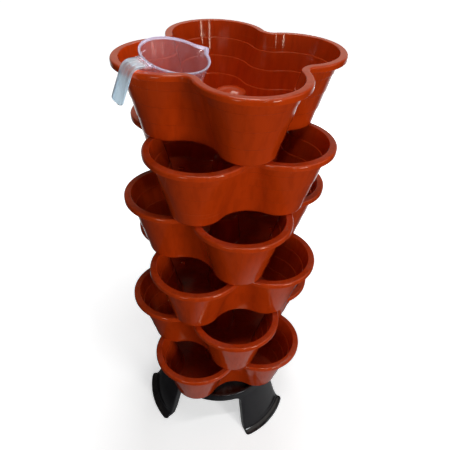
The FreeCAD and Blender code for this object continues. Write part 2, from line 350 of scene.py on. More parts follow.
def merge_doubles(bm):
    bmesh.ops.remove_doubles(bm, verts=bm.verts, dist=SAME_PLACE)


def add_to(bm, part):
    """Joins one bmesh to another and frees it."""
    mesh = bpy.data.meshes.new("joined_part")
    part.to_mesh(mesh)
    part.free()
    bm.from_mesh(mesh)
    bpy.data.meshes.remove(mesh)


def turned_section(corners, segments, longest=None):
    """A bmesh of (x, z, radius) corners carried all the way round an upright axis."""
    part = bmesh.new()
    rounded_line(part, corners)
    if longest:
        split_long_edges(part, longest)
    swept(part, part.verts[:] + part.edges[:], segments, degrees=360, full=True)
    merge_doubles(part)
    return part


def on_circle(radius, degrees, height=0.0):
    angle = math.radians(degrees)
    return Vector((radius * math.cos(angle), radius * math.sin(angle), height))


def object_from(bm, name, material):
    """A smooth object from a bmesh, with its material."""
    for face in bm.faces:
        face.smooth = True
    mesh = bpy.data.meshes.new(name)
    bm.to_mesh(mesh)
    bm.free()
    mesh.materials.append(material)
    piece = bpy.data.objects.new(name, mesh)
    bpy.context.scene.collection.objects.link(piece)
    return piece


def keep_flats_flat(piece):
    """Lets the large faces beside a small round keep their own direction of shading."""
    normals = piece.modifiers.new("flat_faces", "WEIGHTED_NORMAL")
    normals.weight = FLAT_WEIGHT


# Pots


def wall_inset(height):
    """How far the outside of a pot's wall lies inside the rim's outline."""
    steps = sum(1 for step in STEP_HEIGHTS if step < height)
    draft = (BASE_INSET - (RIM_WIDTH - WALL) - STEP_OUT * len(STEP_HEIGHTS)) / (POT_HEIGHT - WALL)
    return BASE_INSET - draft * height - STEP_OUT * steps


def wall_section():
    """The wall's section as (inset, height, radius): up the outside, over the rim, down the inside."""
    under_rim = POT_HEIGHT - WALL
    outside = [(FLOOR_INSET, 0, 0), (BASE_INSET, 0, BASE_ROUND)]
    inside = [(RIM_WIDTH, POT_HEIGHT, RIM_INNER_ROUND)]
    for height in STEP_HEIGHTS:
        inset = wall_inset(height)
        outside.append((inset, height, STEP_ROUND))
        outside.append((inset - STEP_OUT, height + STEP_RISE, STEP_ROUND))
    outside.append((wall_inset(under_rim), under_rim, SKIRT_ROUND))
    outside.append((SKIRT_THICK, under_rim, SKIRT_ROUND))
    outside.append((SKIRT_THICK, POT_HEIGHT - SKIRT_DEPTH, SKIRT_ROUND))
    outside.append((0, POT_HEIGHT - SKIRT_DEPTH, SKIRT_ROUND))
    outside.append((0, POT_HEIGHT, RIM_ROUND))
    for height in reversed(STEP_HEIGHTS):
        inset = wall_inset(height) + WALL
        inside.append((inset - STEP_OUT, height + STEP_RISE, STEP_ROUND))
        inside.append((inset, height, STEP_ROUND))
    inside.append((wall_inset(WALL) + WALL, WALL, INNER_ROUND))
    inside.append((FLOOR_INSET, WALL, 0))
    return outside + inside


def pot_wall():
    """The section swept round each lobe and back round each hollow between them."""
    bm = bmesh.new()
    rounded_line(bm, [(LOBE_RADIUS - inset, z, radius) for inset, z, radius in wall_section()])
    split_long_edges(bm, LONGEST_SPAN)
    start = Matrix.Translation((LOBE_CENTRE, 0, 0)) @ Matrix.Rotation(math.radians(-LOBE_HALF), 4, "Z")
    bmesh.ops.transform(bm, matrix=start, verts=bm.verts)
    front = bm.verts[:] + bm.edges[:]
    for i in range(LOBES):
        lobe = on_circle(LOBE_CENTRE, i * LOBE_STEP)
        hollow = on_circle(CUSP_CENTRE, (i + 0.5) * LOBE_STEP)
        front = swept(bm, front, LOBE_SEGMENTS, centre=lobe, degrees=2 * LOBE_HALF)
        front = swept(bm, front, CUSP_SEGMENTS, centre=hollow, degrees=-2 * CUSP_HALF)
    merge_doubles(bm)
    return bm


def boss_shell(inset, foot_round):
    """One side of the boss's wall: tapered, with a rounded shoulder and a shallow crown."""
    foot_radius = BOSS_FOOT_RADIUS - inset
    top_radius = BOSS_TOP_RADIUS - inset
    foot_height = WALL - inset
    height = BOSS_HEIGHT - inset
    shoulder = BOSS_SHOULDER - inset / 2
    ball_radius = (BOSS_TOP_RADIUS**2 + BOSS_CROWN**2) / (2 * BOSS_CROWN)

    def crown_height(radius):
        return height - ball_radius + math.sqrt(ball_radius**2 - radius**2)

    corners = [(foot_radius + 2 * foot_round, foot_height, 0), (foot_radius, foot_height, foot_round)]
    corners.append((top_radius, crown_height(top_radius), shoulder))
    flat_part = top_radius - 2 * shoulder
    for i in range(CROWN_RINGS):
        radius = flat_part * (1 - i / CROWN_RINGS)
        corners.append((radius, crown_height(radius), 0))
    corners.append((0, height, 0))
    return turned_section(corners, BOSS_SEGMENTS)


def drain_hole(centre):
    ease = DRAIN_RADIUS + 2 * DRAIN_ROUND
    corners = [(ease, 0, 0), (DRAIN_RADIUS, 0, DRAIN_ROUND)]
    corners += [(DRAIN_RADIUS, WALL, DRAIN_ROUND), (ease, WALL, 0)]
    part = turned_section(corners, DRAIN_SEGMENTS)
    bmesh.ops.translate(part, verts=part.verts, vec=centre)
    return part


def close_floor(bm, height, facing):
    """Fills the flat floor at one height between the wall, the boss and the drain holes."""
    rims = []
    for edge in bm.edges:
        if edge.is_boundary and all(abs(vert.co.z - height) < SAME_PLACE for vert in edge.verts):
            rims.append(edge)
    bmesh.ops.triangle_fill(bm, use_beauty=True, use_dissolve=False, edges=rims, normal=facing)


def pot_shape():
    bm = pot_wall()
    add_to(bm, boss_shell(0, INNER_ROUND / 2))
    add_to(bm, boss_shell(WALL, DRAIN_ROUND))
    for i in range(LOBES):
        add_to(bm, drain_hole(on_circle(LOBE_CENTRE, i * LOBE_STEP)))
    close_floor(bm, 0, (0, 0, -1))
    close_floor(bm, WALL, Z_AXIS)
    bmesh.ops.recalc_face_normals(bm, faces=bm.faces)
    return bm


def let_walls_wander(bm, seed):
    """Draws the walls in by up to WALL_WANDER and the rim down by up to RIM_SAG, as cooling does."""
    for vert in bm.verts:
        outward = Vector((vert.co.x, vert.co.y, 0))
        reach = outward.length
        up = vert.co.z / POT_HEIGHT
        if reach > BOSS_FOOT_RADIUS + WALL:
            level = vert.co.z * WANDER_RISE + WANDER_STEP * seed
            spot = Vector((vert.co.x * WANDER_GRAIN, vert.co.y * WANDER_GRAIN, level))
            inward = 0.5 + 0.5 * noise.noise(spot)
            vert.co -= outward / reach * WALL_WANDER * inward * up
        spot = Vector((vert.co.x * SAG_GRAIN, vert.co.y * SAG_GRAIN, SAG_STEP * seed))
        sag = 0.5 + 0.5 * noise.noise(spot)
        past_hollow = max(0.0, reach - (CUSP_CENTRE - CUSP_RADIUS)) / LOBE_RADIUS
        vert.co.z -= RIM_SAG * sag * min(1.0, past_hollow) * up


def pots(material):
    shape = pot_shape()
    for level in range(1, POT_COUNT + 1):
        name = "pot_" + str(level)
        bm = shape.copy()
        let_walls_wander(bm, level)
        quarter = math.radians(LOBE_STEP / 2 * ((POT_COUNT - level) % 2))
        place = Matrix.Translation((0, 0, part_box(name)[0].z)) @ Matrix.Rotation(quarter, 4, "Z")
        bmesh.ops.transform(bm, matrix=place, verts=bm.verts)
        piece = object_from(bm, "planter_" + name, material)
        keep_flats_flat(piece)
        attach(piece, name)
        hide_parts(name)
    shape.free()


# Stand


def in_order(bm, first):
    """The points of an open chain of edges, from one end to the other."""
    points = [first.co.copy()]
    here = first
    edge = first.link_edges[0]
    while edge:
        here = edge.other_vert(here)
        points.append(here.co.copy())
        onward = [link for link in here.link_edges if link != edge]
        edge = onward[0] if onward else None
    return points


def stand_section():
    """Points (x, z) down the stand's outside, from the middle of the dish to the end of a leg's lip."""
    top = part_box("stand")[1].z
    dish = top - DISH_DEPTH
    corners = [
        (0, dish, 0),
        (DISH_INNER_RADIUS - DISH_DRAFT, dish, DISH_FLOOR_ROUND),
        (DISH_INNER_RADIUS, top, DISH_RIM_INNER_ROUND),
        (DISH_RADIUS, top, DISH_RIM_ROUND),
        (SKIRT_FOOT_RADIUS, SKIRT_FOOT_HEIGHT, STAND_SKIRT_ROUND),
        (LEG_FOOT_RADIUS, STAND_THICK, LEG_LIP_ROUND),
        (LEG_LIP_RADIUS, STAND_THICK, 0),
    ]
    bm = bmesh.new()
    rounded_line(bm, corners)
    split_long_edges(bm, STAND_SPAN)
    first = min(bm.verts, key=lambda vert: vert.co.x)
    points = [(point.x, point.z) for point in in_order(bm, first)]
    bm.free()
    return points


def along_section(points):
    """How far along the section each of its points lies."""
    lengths = [0.0]
    for (x, z), (next_x, next_z) in zip(points, points[1:]):
        lengths.append(lengths[-1] + math.hypot(next_x - x, next_z - z))
    return lengths


def on_section(points, lengths, length):
    """The point on the section at a length, and the outward direction there."""
    i = 1
    while i < len(points) - 1 and lengths[i] < length:
        i += 1
    share = (length - lengths[i - 1]) / (lengths[i] - lengths[i - 1])
    start = Vector(points[i - 1])
    run = Vector(points[i]) - start
    return start + run * share, Vector((-run.y, run.x)).normalized()


def leg_pattern(lengths, arch):
    """One third of the stand laid flat: X goes round it, Z along its section and Y into the wall."""
    whole = math.radians(180 / LEG_COUNT) * PATTERN_RADIUS
    leg = math.radians(LEG_ANGLE / 2) * PATTERN_RADIUS
    end = lengths[-1]
    corners = [(-whole, 0, 0), (whole, 0, 0), (whole, arch, 0), (leg, arch, ARCH_ROUND)]
    corners += [(leg, end, LEG_CORNER), (-leg, end, LEG_CORNER), (-leg, arch, ARCH_ROUND), (-whole, arch, 0)]
    bm = bmesh.new()
    rounded_line(bm, corners, closed=True)
    turn_in_openings(bm, whole, end)
    cuts = [((0, 0, length), Z_AXIS) for length in lengths[1:-1]]
    steps = round(180 / LEG_COUNT / PATTERN_STEP)
    cuts += [((whole * i / steps, 0, 0), X_AXIS) for i in range(-steps + 1, steps)]
    for point, across in cuts:
        geom = bm.verts[:] + bm.edges[:] + bm.faces[:]
        bmesh.ops.bisect_plane(bm, geom=geom, dist=SAME_PLACE, plane_co=point, plane_no=across)
    return bm


def turn_in_openings(bm, whole, end):
    """Fills the flat outline and turns its edge in, with a round, along the openings and the feet."""

    def along(edge, side):
        return all(abs(side(vert.co)) < SAME_PLACE for vert in edge.verts)

    bmesh.ops.contextual_create(bm, geom=bm.edges[:])
    edges = []
    for edge in bm.edges:
        joined = along(edge, lambda co: abs(co.x) - whole) or along(edge, lambda co: co.z)
        if not joined and not along(edge, lambda co: co.z - end):
            edges.append(edge)
    made = bmesh.ops.extrude_edge_only(bm, edges=edges)
    turned = [item for item in made["geom"] if isinstance(item, bmesh.types.BMVert)]
    bmesh.ops.translate(bm, verts=turned, vec=(0, LEG_SIDE_DEPTH, 0))
    bmesh.ops.bevel(
        bm,
        geom=edges,
        offset=LEG_SIDE_ROUND,
        offset_type="OFFSET",
        segments=LEG_SIDE_SEGMENTS,
        profile=0.5,
        affect="EDGES",
        material=-1,
    )


def leg_and_dish(points, lengths, arch):
    """The flat pattern wrapped on to the section, with the leg's sides eased back."""
    bm = leg_pattern(lengths, arch)
    leg = math.radians(LEG_ANGLE / 2) * PATTERN_RADIUS
    for vert in bm.verts:
        length = vert.co.z
        place, outward = on_section(points, lengths, length)
        from_side = (leg - abs(vert.co.x)) / LEG_EASE_WIDTH
        started = min(1.0, max(0.0, (length - arch) / LEG_EASE_FADE))
        before_lip = min(1.0, max(0.0, (place.y - 3 * STAND_THICK) / LEG_EASE_FADE))
        depth = vert.co.y
        if depth > LEG_SIDE_ROUND:
            turn_share = SKIRT_TURN_SHARE + (1 - SKIRT_TURN_SHARE) * started
            depth = LEG_SIDE_ROUND + (depth - LEG_SIDE_ROUND) * turn_share
        if from_side < 1:
            depth += LEG_EASE_DEPTH * (1 - max(0.0, from_side)) ** 2 * started * before_lip
        above_floor = max(0.0, place.y - STAND_THICK)
        place -= outward * min(depth, above_floor / max(outward.y, LEAST_RISE))
        vert.co = on_circle(place.x, math.degrees(vert.co.x / PATTERN_RADIUS), place.y)
    return bm


def stand_shape():
    """The stand's outside, with a return turned in all round the openings between the legs."""
    points = stand_section()
    lengths = along_section(points)
    skirt = [i for i, (x, z) in enumerate(points) if x > DISH_RADIUS and z > SKIRT_FOOT_HEIGHT]
    arch = lengths[skirt[-1]]
    third = leg_and_dish(points, lengths, arch)
    bm = bmesh.new()
    for i in range(LEG_COUNT):
        part = third.copy()
        turn = Matrix.Rotation(math.radians(FIRST_LEG + 360 / LEG_COUNT * i), 4, "Z")
        bmesh.ops.transform(part, matrix=turn, verts=part.verts)
        add_to(bm, part)
    third.free()
    merge_doubles(bm)
    bmesh.ops.recalc_face_normals(bm, faces=bm.faces)
    lip = max(bm.faces, key=lambda face: face.calc_center_median().xy.length_squared)
    if lip.normal.z < 0:
        bmesh.ops.reverse_faces(bm, faces=bm.faces)
    return bm


def stand(material):
    piece = object_from(stand_shape(), "planter_stand", material)
    wall = piece.modifiers.new("wall", "SOLIDIFY")
    wall.thickness = STAND_THICK
    wall.offset = -1
    wall.use_even_offset = True
    edge = piece.modifiers.new("edges", "BEVEL")
    edge.width = STAND_EDGE
    edge.segments = 2
    edge.limit_method = "ANGLE"
    edge.angle_limit = math.radians(STAND_EDGE_ANGLE)
    keep_flats_flat(piece)
    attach(piece, "stand")
    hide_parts("stand")


# Measuring jug


def jug_frame():
    """From the jug's own frame to where it hangs, leaning, over the top rim."""
    tilt = Vector(Z_AXIS).rotation_difference(JUG_AXIS).to_matrix().to_4x4()
    facing = Matrix.Rotation(math.radians(JUG_HANDLE_ANGLE - 180), 4, "Z")
    return Matrix.Translation(JUG_PLACE) @ tilt @ facing


def jug_radius(z):
    """The outside of the jug's wall at a height."""
    return JUG_FOOT_RADIUS + (JUG_TOP_RADIUS - JUG_FOOT_RADIUS) * (z + JUG_DEPTH) / JUG_DEPTH


def beak_radius(aside, z):
    """The outside of the pouring beak at a height, some degrees aside from the way it points."""
    reach = SPOUT_KEEL_RADIUS + (SPOUT_REACH - SPOUT_KEEL_RADIUS) * (1 + z / SPOUT_DEPTH)
    side = math.radians(SPOUT_HALF_ANGLE)
    turn = math.radians(math.hypot(aside, SPOUT_TIP_ANGLE))
    return reach * math.cos(side) / math.cos(turn - side)


def jug_cup():
    """The jug's wall with its lip and foot ring, closed, and drawn out into a beak on one side."""
    foot = -JUG_DEPTH
    ring = JUG_FOOT_RADIUS - JUG_FOOT_RING
    corners = [
        (0, foot + JUG_FOOT_RECESS, 0),
        (ring, foot + JUG_FOOT_RECESS, JUG_FOOT_RECESS / 2),
        (ring + JUG_FOOT_RECESS, foot, JUG_FOOT_RECESS / 2),
        (JUG_FOOT_RADIUS, foot, JUG_FOOT_ROUND),
        (JUG_TOP_RADIUS, -JUG_LIP, JUG_LIP_ROUND / 2),
        (JUG_RIM_RADIUS, -JUG_LIP, JUG_LIP_ROUND),
        (JUG_RIM_RADIUS, 0, JUG_LIP_ROUND),
        (JUG_TOP_RADIUS - JUG_WALL, 0, JUG_LIP_ROUND),
        (JUG_FOOT_RADIUS - JUG_WALL, foot + JUG_WALL + JUG_FOOT_RECESS, JUG_FOOT_ROUND - JUG_WALL),
        (0, foot + JUG_WALL + JUG_FOOT_RECESS, 0),
    ]
    bm = turned_section(corners, JUG_SEGMENTS, JUG_SPAN)
    for vert in bm.verts:
        out = Vector((vert.co.x, vert.co.y, 0))
        wall = jug_radius(vert.co.z)
        aside = abs(math.degrees(math.atan2(vert.co.y, vert.co.x)))
        if vert.co.z > -2 * SPOUT_DEPTH and aside < SPOUT_HALF_ANGLE and out.length > wall / 2:
            apart = wall - beak_radius(aside, vert.co.z)
            push = (math.sqrt(apart**2 + SPOUT_BLEND**2) - apart) / 2
            vert.co += out.normalized() * push
    bmesh.ops.recalc_face_normals(bm, faces=bm.faces)
    return bm


def strap_section():
    """The handle's section, a ribbed channel, as (y, z, radius) corners."""
    half = STRAP_WIDTH / 2
    inner = half - STRAP_FLANGE_THICK
    edge = half - STRAP_EDGE_BAND
    tiny = STRAP_GROOVE / 2
    right = [(0, -STRAP_GROOVE, 0)]
    for y in (STRAP_RIB_PLACE - STRAP_RIB_WIDTH, STRAP_RIB_PLACE + STRAP_RIB_WIDTH):
        towards = math.copysign(STRAP_GROOVE, STRAP_RIB_PLACE - y)
        pair = [(y, -STRAP_GROOVE, tiny), (y + towards, 0, tiny)]
        right += pair if towards > 0 else pair[::-1]
    right += [(edge, -STRAP_GROOVE, tiny), (edge + STRAP_GROOVE, 0, tiny), (half, 0, 3 * tiny)]
    right += [(half, -STRAP_FLANGE, 2 * tiny), (inner, -STRAP_FLANGE, 2 * tiny)]
    right += [(inner, -STRAP_THICK, 2 * tiny)]
    left = [(-y, z, radius) for y, z, radius in reversed(right[1:])]
    return right + left


def jug_strap():
    """The channel-section handle: out from the rim, over a bend and down, with a rounded end."""
    bm = bmesh.new()
    rounded_line(bm, strap_section(), closed=True)
    start = JUG_TOP_RADIUS - JUG_WALL / 2
    place = Matrix.Translation((start, 0, 0)) @ Matrix.Rotation(math.radians(90), 4, "Z")
    bmesh.ops.transform(bm, matrix=place, verts=bm.verts)
    first = bm.edges[:]
    turn = 90 - STRAP_SPLAY
    bend_start = STRAP_REACH - STRAP_BEND * math.tan(math.radians(turn / 2))
    out = bend_start - start
    front = swept(bm, bm.verts[:] + first, round(out / STRAP_SPAN), shift=(out, 0, 0))
    bend = (bend_start, 0, -STRAP_BEND)
    front = swept(bm, front, round(STRAP_BEND / STRAP_SPAN), centre=bend, axis=Y_AXIS, degrees=turn)
    splay = math.radians(STRAP_SPLAY)
    down = Vector((math.sin(splay), 0, -math.cos(splay)))
    front = swept(bm, front, round(STRAP_HANG / STRAP_SPAN), shift=down * STRAP_HANG)
    last = [item for item in front if isinstance(item, bmesh.types.BMEdge)]
    end = Vector((STRAP_REACH, 0, 0)) + down * (STRAP_BEND * math.tan(math.radians(turn / 2)) + STRAP_HANG)
    for vert in bm.verts:
        from_end = (end - vert.co).dot(down)
        from_root = (vert.co.x - start) / STRAP_ROOT_LENGTH
        if from_end < STRAP_CORNER and vert.co.z < -STRAP_BEND:
            spare = STRAP_CORNER - math.sqrt(max(0.0, STRAP_CORNER**2 - (STRAP_CORNER - from_end) ** 2))
            vert.co.y *= 1 - 2 * spare / STRAP_WIDTH
        if from_root < 1:
            vert.co.y *= 1 + STRAP_ROOT_FLARE * (1 - from_root) ** 2
    for rim in (first, last):
        bmesh.ops.contextual_create(bm, geom=rim)
    merge_doubles(bm)
    bmesh.ops.recalc_face_normals(bm, faces=bm.faces)
    bmesh.ops.rotate(bm, cent=ORIGIN, matrix=Matrix.Rotation(math.radians(180), 3, "Z"), verts=bm.verts)
    return bm


def united(piece, other):
    """The piece with another one's volume joined on, as one closed mesh."""
    joint = piece.modifiers.new("join", "BOOLEAN")
    joint.operation = "UNION"
    joint.solver = "EXACT"
    joint.object = other
    view = bpy.context.evaluated_depsgraph_get()
    mesh = bpy.data.meshes.new_from_object(piece.evaluated_get(view))
    piece.modifiers.remove(joint)
    piece.data = mesh
    bpy.data.objects.remove(other)
    return piece


def cloud_the_lip(piece, material):
    """Gives the faces of the jug's lip and beak edge the milkier, paler plastic, which paints a highlight
    along that edge.
    """
    piece.data.materials.append(material)
    back = jug_frame().inverted()
    for face in piece.data.polygons:
        place = back @ face.center
        on_cup = place.xy.length < JUG_RIM_RADIUS + SAME_PLACE or place.x > 0
        if on_cup and place.z > -JUG_LIP - SAME_PLACE:
            face.material_index = len(piece.data.materials) - 1


def measuring_jug(material, lip_highlight_material):
    place = jug_frame()
    cup = jug_cup()
    strap = jug_strap()
    for bm in (cup, strap):
        bmesh.ops.transform(bm, matrix=place, verts=bm.verts)
    piece = united(object_from(cup, "jug", material), object_from(strap, "jug_strap", material))
    cloud_the_lip(piece, lip_highlight_material)
    keep_flats_flat(piece)
    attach(piece, "measuring_jug")
    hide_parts("measuring_jug")


def jug_level(volume):
    """Height in the jug's own frame at which it holds a volume, found by adding thin slices."""
    slices = 400
    height = -JUG_DEPTH + JUG_WALL + JUG_FOOT_RECESS
    held = 0.0
    while held < volume:
        held += math.pi * (jug_radius(height) - JUG_WALL) ** 2 * JUG_DEPTH / slices
        height += JUG_DEPTH / slices
    return height


def onto_jug_wall(bm, height):
    """Wraps a flat mark, drawn across X and up Y, round the outside of the jug's wall."""
    for vert in bm.verts:
        z = height + vert.co.y
        radius = jug_radius(z)
        angle = SCALE_ANGLE + math.degrees(vert.co.x / radius)
        vert.co = on_circle(radius + vert.co.z, angle, z)


def scale_line(length):
    part = bmesh.new()
    bmesh.ops.create_cube(part, size=1)
    bmesh.ops.scale(part, verts=part.verts, vec=(length, SCALE_LINE[0], SCALE_LINE[2]))
    bmesh.ops.bevel(
        part,
        geom=part.edges[:],
        offset=SCALE_LINE[2] / 4,
        segments=2,
        profile=0.5,
        affect="EDGES",
        material=-1,
    )
    return part


def digits(number):
    """Plain raised figures, drawn flat and centred on their height."""
    words = bpy.data.curves.new("figures", "FONT")
    words.body = str(number)
    words.size = DIGIT_HEIGHT
    words.extrude = SCALE_LINE[2] / 2
    words.resolution_u = 4
    words.align_y = "CENTER"
    flat = bpy.data.objects.new("figures", words)
    bpy.context.scene.collection.objects.link(flat)
    bpy.context.view_layer.update()
    mesh = bpy.data.meshes.new_from_object(flat)
    part = bmesh.new()
    part.from_mesh(mesh)
    merge_doubles(part)
    bpy.data.objects.remove(flat)
    bpy.data.meshes.remove(mesh)
    return part


def jug_scale(material):
    """Raised lines at each hundred millilitres, with plain numbers beside every second one."""
    bm = bmesh.new()
    for i in range(1, SCALE_LINES + 1):
        height = jug_level(i * SCALE_STEP)
        numbered = i % 2 == 0
        length = SCALE_LINE[1] if numbered else SCALE_LINE[1] * SCALE_SHORT
        line = scale_line(length)
        bmesh.ops.translate(line, verts=line.verts, vec=(length / 2, 0, 0))
        onto_jug_wall(line, height)
        add_to(bm, line)
        if numbered:
            figures = digits(100 * i)
            bmesh.ops.translate(figures, verts=figures.verts, vec=(SCALE_LINE[1] * DIGIT_PLACE, 0, 0))
            onto_jug_wall(figures, height)
            add_to(bm, figures)
    bmesh.ops.transform(bm, matrix=jug_frame(), verts=bm.verts)
    bmesh.ops.recalc_face_normals(bm, faces=bm.faces)
    piece = object_from(bm, "jug_scale_marks", material)
    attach(piece, "measuring_jug")


# Shader helpers and the groups that the plastics share


def add_node(tree, kind, inputs=None, **settings):
    """A node with its settings; each input is given a plain value or another node's socket."""
    node = tree.nodes.new(kind)
    for name, value in settings.items():
        setattr(node, name, value)
    for name, value in (inputs or {}).items():
        if isinstance(value, bpy.types.NodeSocket):
            tree.links.new(value, node.inputs[name])
        else:
            node.inputs[name].default_value = value
    return node


def new_group(name, inputs, outputs):
    """A shader group with its input node's sockets and its output node."""
    group = bpy.data.node_groups.new(name, "ShaderNodeTree")
    for label, value in inputs.items():
        kind = "NodeSocketVector" if label == "Vector" else "NodeSocketFloat"
        socket = group.interface.new_socket(name=label, in_out="INPUT", socket_type=kind)
        if value is not None:
            socket.default_value = value
    for label in outputs:
        group.interface.new_socket(name=label, in_out="OUTPUT", socket_type="NodeSocketFloat")
    return group, group.nodes.new("NodeGroupInput").outputs, group.nodes.new("NodeGroupOutput")


def maths(tree, operation, first, second):
    return add_node(tree, "ShaderNodeMath", {0: first, 1: second}, operation=operation).outputs[0]


def ranged(tree, value, low, high, to_low=0.0, to_high=1.0):
    """A value carried from one range to another with soft ends."""
    node = add_node(
        tree,
        "ShaderNodeMapRange",
        {"Value": value, "From Min": low, "From Max": high, "To Min": to_low, "To Max": to_high},
        interpolation_type="SMOOTHSTEP",
    )
    return node.outputs["Result"]


def noise_value(tree, vector, grain):
    """Noise of a (scale, detail, roughness)."""
    scale, detail, roughness = grain
    inputs = {"Vector": vector, "Scale": scale, "Detail": detail, "Roughness": roughness}
    return add_node(tree, "ShaderNodeTexNoise", inputs).outputs["Fac"]


def patched(tree, vector, grain, span, to_low=0.0, to_high=1.0):
    """Soft patches: the part of a noise that lies over a span of its values."""
    return ranged(tree, noise_value(tree, vector, grain), *span, to_low, to_high)


def stretched(tree, vector, scale, turn=0.0):
    node = add_node(
        tree, "ShaderNodeMapping", {"Vector": vector, "Scale": scale, "Rotation": (0, turn, turn)}
    )
    return node.outputs["Vector"]


def moulded_skin_group():
    """Fine peel, slow ripples and upright flow lines of a moulded wall, as a height in metres."""
    group, given, out = new_group(
        "moulded_skin",
        {"Vector": None, "Peel Height": 0.00001, "Ripple Height": 0.0002, "Flow Height": 0.00005},
        ("Height", "Flow"),
    )
    peel = noise_value(group, given["Vector"], PEEL_GRAIN)
    ripple = noise_value(group, given["Vector"], RIPPLE_GRAIN)
    flow = noise_value(group, stretched(group, given["Vector"], FLOW_STRETCH), FLOW_GRAIN)
    height = maths(group, "MULTIPLY", peel, given["Peel Height"])
    height = maths(group, "ADD", height, maths(group, "MULTIPLY", ripple, given["Ripple Height"]))
    height = maths(group, "ADD", height, maths(group, "MULTIPLY", flow, given["Flow Height"]))
    group.links.new(height, out.inputs["Height"])
    group.links.new(flow, out.inputs["Flow"])
    return group


def hairline_scratches_group():
    """Sparse, thin scratches that run in two directions, as a mask."""
    group, given, out = new_group("hairline_scratches", {"Vector": None, "Amount": 0.5}, ("Mask",))
    mask = 0.0
    for scale, turn in SCRATCH_RUNS:
        along = stretched(group, given["Vector"], scale, turn)
        mask = maths(group, "ADD", patched(group, along, SCRATCH_GRAIN, SCRATCH_SPAN), mask)
    patches = patched(group, given["Vector"], SCRATCH_PATCHES, SCRATCH_PATCH_SPAN)
    mask = maths(group, "MULTIPLY", mask, patches)
    group.links.new(maths(group, "MULTIPLY", mask, given["Amount"]), out.inputs["Mask"])
    return group


def rubbed_edges_group():
    """Where an edge stands out and is rubbed, broken up into patches, as a mask."""
    inputs = {"Vector": None, "Radius": RUB_RADIUS, "Amount": 0.5}
    group, given, out = new_group("rubbed_edges", inputs, ("Mask",))
    eased = add_node(group, "ShaderNodeBevel", {"Radius": given["Radius"]}, samples=4).outputs["Normal"]
    plain = add_node(group, "ShaderNodeNewGeometry").outputs["Normal"]
    alike = add_node(group, "ShaderNodeVectorMath", {0: eased, 1: plain}, operation="DOT_PRODUCT")
    edge = ranged(group, alike.outputs["Value"], *RUB_SPAN)
    patches = patched(group, given["Vector"], RUB_PATCHES, RUB_PATCH_SPAN)
    mask = maths(group, "MULTIPLY", edge, patches)
    group.links.new(maths(group, "MULTIPLY", mask, given["Amount"]), out.inputs["Mask"])
    return group


def settled_dust_group():
    """Thin dust and dried water marks on whatever faces up, as a mask."""
    group, given, out = new_group("settled_dust", {"Vector": None, "Amount": 0.4}, ("Mask",))
    normal = add_node(group, "ShaderNodeNewGeometry").outputs["Normal"]
    upward = add_node(group, "ShaderNodeSeparateXYZ", {0: normal}).outputs["Z"]
    patches = patched(group, given["Vector"], DUST_PATCHES, DUST_PATCH_SPAN)
    specks = patched(group, given["Vector"], DUST_SPECKS, DUST_SPECK_SPAN)
    patches = maths(group, "MULTIPLY", patches, 1 - DUST_SPECK_SHARE)
    mask = maths(group, "ADD", patches, maths(group, "MULTIPLY", specks, DUST_SPECK_SHARE))
    mask = maths(group, "MULTIPLY", mask, ranged(group, upward, *DUST_SLOPE))
    group.links.new(maths(group, "MULTIPLY", mask, given["Amount"]), out.inputs["Mask"])
    return group


def place_group(tree, group, inputs):
    return add_node(tree, "ShaderNodeGroup", inputs, node_tree=group).outputs


def mixed(tree, first, second, factor):
    """One colour over another by a mask."""
    inputs = {0: factor}
    for socket, colour in ((6, first), (7, second)):
        linked = isinstance(colour, bpy.types.NodeSocket)
        inputs[socket] = colour if linked else (*colour, 1)
    return add_node(tree, "ShaderNodeMix", inputs, data_type="RGBA").outputs[2]


def bumped(tree, height, normal=None):
    inputs = {"Height": height, "Strength": 1.0, "Distance": 1.0}
    if normal:
        inputs["Normal"] = normal
    return add_node(tree, "ShaderNodeBump", inputs).outputs["Normal"]


def plastic(name, groups, tone, deep_tone, scuffed_tone, roughness, skin, wear):
    """A moulded plastic: two close tones along its flow lines, rubbed edges, scratches and dust."""
    material = bpy.data.materials.new(name)
    material.use_nodes = True
    tree = material.node_tree
    shader = tree.nodes["Principled BSDF"]
    here = add_node(tree, "ShaderNodeTexCoord").outputs["Object"]
    skin_peel, skin_ripple, skin_flow = skin
    edge_wear, scratch_wear, dust_wear = wear
    surface = place_group(
        tree,
        groups["skin"],
        {"Vector": here, "Peel Height": skin_peel, "Ripple Height": skin_ripple, "Flow Height": skin_flow},
    )
    edges = place_group(tree, groups["edges"], {"Vector": here, "Amount": edge_wear})["Mask"]
    scratches = place_group(tree, groups["scratches"], {"Vector": here, "Amount": scratch_wear})["Mask"]
    dust = place_group(tree, groups["dust"], {"Vector": here, "Amount": dust_wear})["Mask"]
    scuffed = maths(tree, "ADD", edges, maths(tree, "MULTIPLY", scratches, SCRATCH_SHOW))
    colour = mixed(tree, deep_tone, tone, ranged(tree, surface["Flow"], *FLOW_SPAN))
    colour = mixed(tree, colour, scuffed_tone, scuffed)
    colour = mixed(tree, colour, DUST_TONE, dust)
    tree.links.new(colour, shader.inputs["Base Color"])
    rough = patched(tree, here, HAZE_GRAIN, HAZE_SPAN, roughness - HAZE_LESS, roughness + HAZE_MORE)
    rougher = ((edges, RUBBED_ROUGHER), (scratches, SCRATCHED_ROUGHER), (dust, DUSTY_ROUGHER))
    for mask, share in rougher:
        rough = maths(tree, "ADD", rough, maths(tree, "MULTIPLY", mask, share))
    tree.links.new(rough, shader.inputs["Roughness"])
    return material, tree, shader, surface["Height"]


